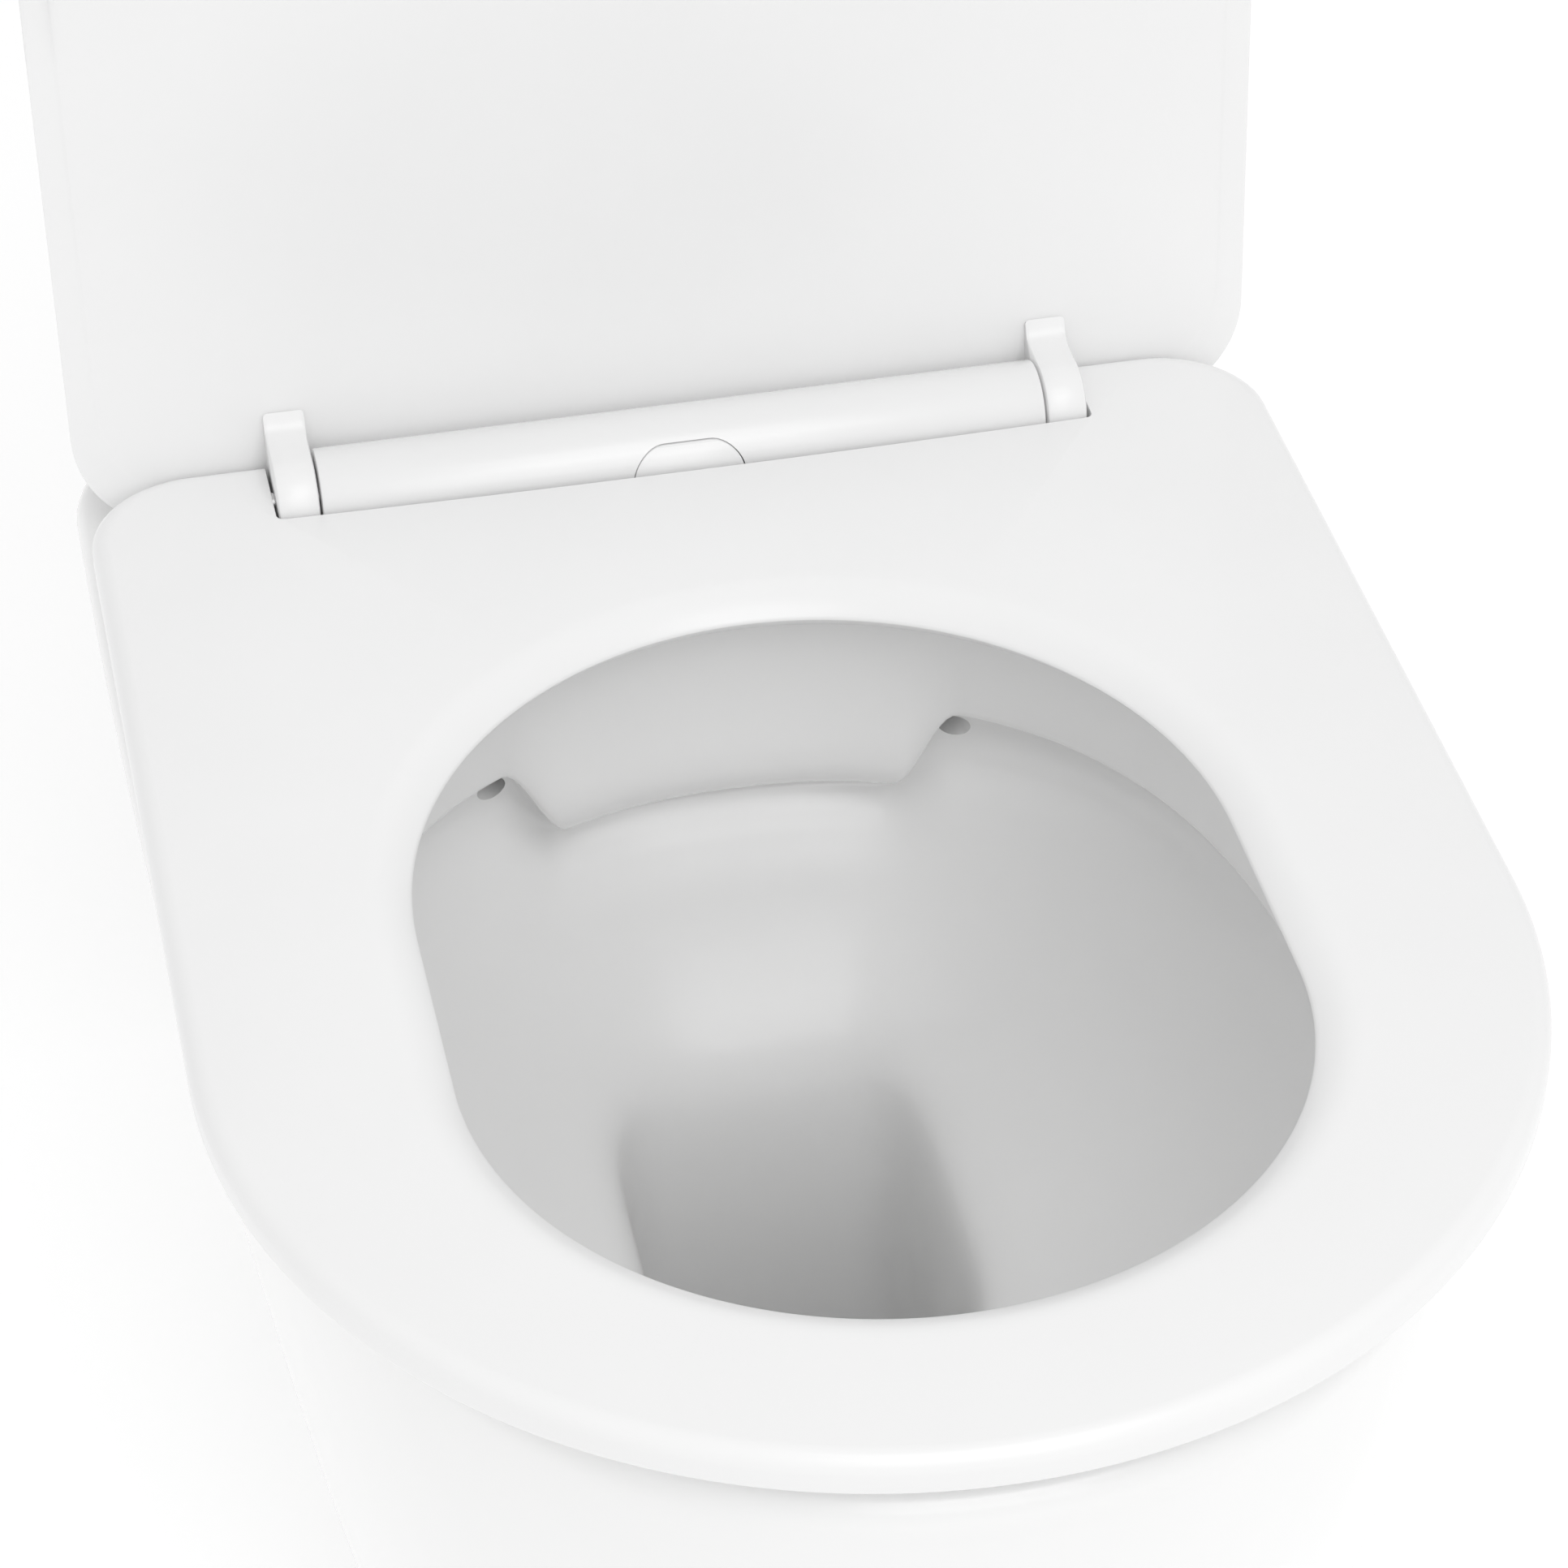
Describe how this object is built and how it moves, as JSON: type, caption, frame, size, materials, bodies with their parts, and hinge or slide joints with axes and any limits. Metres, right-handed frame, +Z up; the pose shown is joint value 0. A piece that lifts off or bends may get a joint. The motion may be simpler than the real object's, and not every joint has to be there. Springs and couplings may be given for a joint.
{
  "type": "close coupled toilet",
  "caption": "Floor-standing rimless toilet pan with a close-coupled cistern, dual-flush button, and a slim soft-close seat and lid on a quick-release hinge.",
  "frame": {"origin": "on the floor, under the middle of the bounding box", "axes": "+Z up, front of the pan towards -Y, wall and cistern towards +Y, +X to the right seen from the front"},
  "size_m": [0.3634, 0.655, 0.8395],
  "materials": {
    "ceramic": "white vitreous china under a clear gloss glaze",
    "duroplast": "white moulded thermoset, satin gloss",
    "hinge_plastic": "white moulded plastic, gloss",
    "buffer_plastic": "soft white plastic",
    "white_plastic": "moulded, fine texture",
    "grey_plastic": "moulded, fine texture",
    "rubber": "matt moulded rubber",
    "steel": "stainless, fine turned grain",
    "chrome": "bright chromium plate"
  },
  "bodies": {
    "base": {"pan": "ceramic", "cistern_tank": "ceramic", "coupling_gasket": "rubber", "coupling_bolts": "steel", "coupling_seals": "rubber", "coupling_pads": "rubber", "coupling_washers": "steel", "coupling_wing_nuts": "steel", "flush_valve_basket": "grey_plastic", "flush_valve_floor_seal": "rubber", "flush_valve_backnut": "grey_plastic", "flush_lever_pin": "steel", "fill_valve_body": "grey_plastic", "fill_valve_floor_seal": "rubber", "fill_valve_backnut": "grey_plastic", "inlet_filter": "white_plastic", "fill_valve_arm_pin": "steel", "hinge_studs": "steel", "hinge_base_plates": "steel", "hinge_bushes": "rubber", "hinge_stud_nuts": "grey_plastic", "hinge_bar": "hinge_plastic", "lid_damper": "grey_plastic", "seat_damper": "grey_plastic", "release_spring": "steel"},
    "cistern_lid": {"cistern_lid": "ceramic", "button_bezel": "chrome", "button_backnut": "grey_plastic", "full_flush_spring": "steel", "half_flush_spring": "steel"},
    "full_button": {"full_flush_button": "chrome", "full_flush_rod": "white_plastic"},
    "half_button": {"half_flush_button": "chrome", "half_flush_rod": "white_plastic"},
    "flush_tube": {"flush_valve_tube": "white_plastic", "flush_valve_disc_seal": "rubber"},
    "flush_lever": {"flush_lever": "white_plastic"},
    "float": {"fill_valve_float": "white_plastic"},
    "float_arm": {"fill_valve_arm": "grey_plastic"},
    "release": {"release_button": "hinge_plastic"},
    "seat": {"seat_ring": "duroplast", "seat_buffers": "buffer_plastic", "seat_hinge_pin": "steel"},
    "lid": {"lid_shell": "duroplast", "lid_buffers": "buffer_plastic", "lid_hinge_pin": "steel"}
  },
  "joints": [
    {"name": "lid_hinge", "type": "hinge", "parent": "base", "child": "lid", "pos_m": [0, 0.098, 0.416], "axis": [-1, 0, 0], "range_deg": [-96, 0]},
    {"name": "seat_hinge", "type": "hinge", "parent": "base", "child": "seat", "pos_m": [0, 0.098, 0.416], "axis": [-1, 0, 0], "range_deg": [0, 94]},
    {"name": "release_press", "type": "slide", "parent": "base", "child": "release", "axis": [0, 1, 0], "range_m": [0, 0.004], "stiffness_N_per_m": 900, "deforming": ["release_spring"]},
    {"name": "cistern_lid_lift", "type": "slide", "parent": "base", "child": "cistern_lid", "axis": [0, 0, 1], "range_m": [0, 0.15]},
    {"name": "full_flush_press", "type": "slide", "parent": "cistern_lid", "child": "full_button", "axis": [0, 0, -1], "range_m": [0, 0.007], "stiffness_N_per_m": 700, "springref_m": -0.001, "deforming": ["full_flush_spring"]},
    {"name": "half_flush_press", "type": "slide", "parent": "cistern_lid", "child": "half_button", "axis": [0, 0, -1], "range_m": [0, 0.007], "stiffness_N_per_m": 700, "springref_m": -0.001, "deforming": ["half_flush_spring"]},
    {"name": "flush_lever_tilt", "type": "hinge", "parent": "base", "child": "flush_lever", "pos_m": [0.027, 0.2485, 0.659], "axis": [0, 1, 0], "range_deg": [0, 32]},
    {"name": "flush_tube_lift", "type": "slide", "parent": "base", "child": "flush_tube", "axis": [0, 0, 1], "range_m": [0, 0.014]},
    {"name": "float_rise", "type": "slide", "parent": "base", "child": "float", "axis": [0, 0, 1], "range_m": [-0.018, 0]},
    {"name": "float_arm_tilt", "type": "hinge", "parent": "base", "child": "float_arm", "pos_m": [-0.123, 0.2485, 0.688], "axis": [0, -1, 0], "range_deg": [-31, 0]}
  ],
  "couplings": [
    {"joint": "flush_lever_tilt", "follows": "full_flush_press", "rad_per_m": 78},
    {"joint": "flush_tube_lift", "follows": "full_flush_press", "ratio": 2},
    {"joint": "float_arm_tilt", "follows": "float_rise", "rad_per_m": 29}
  ]
}
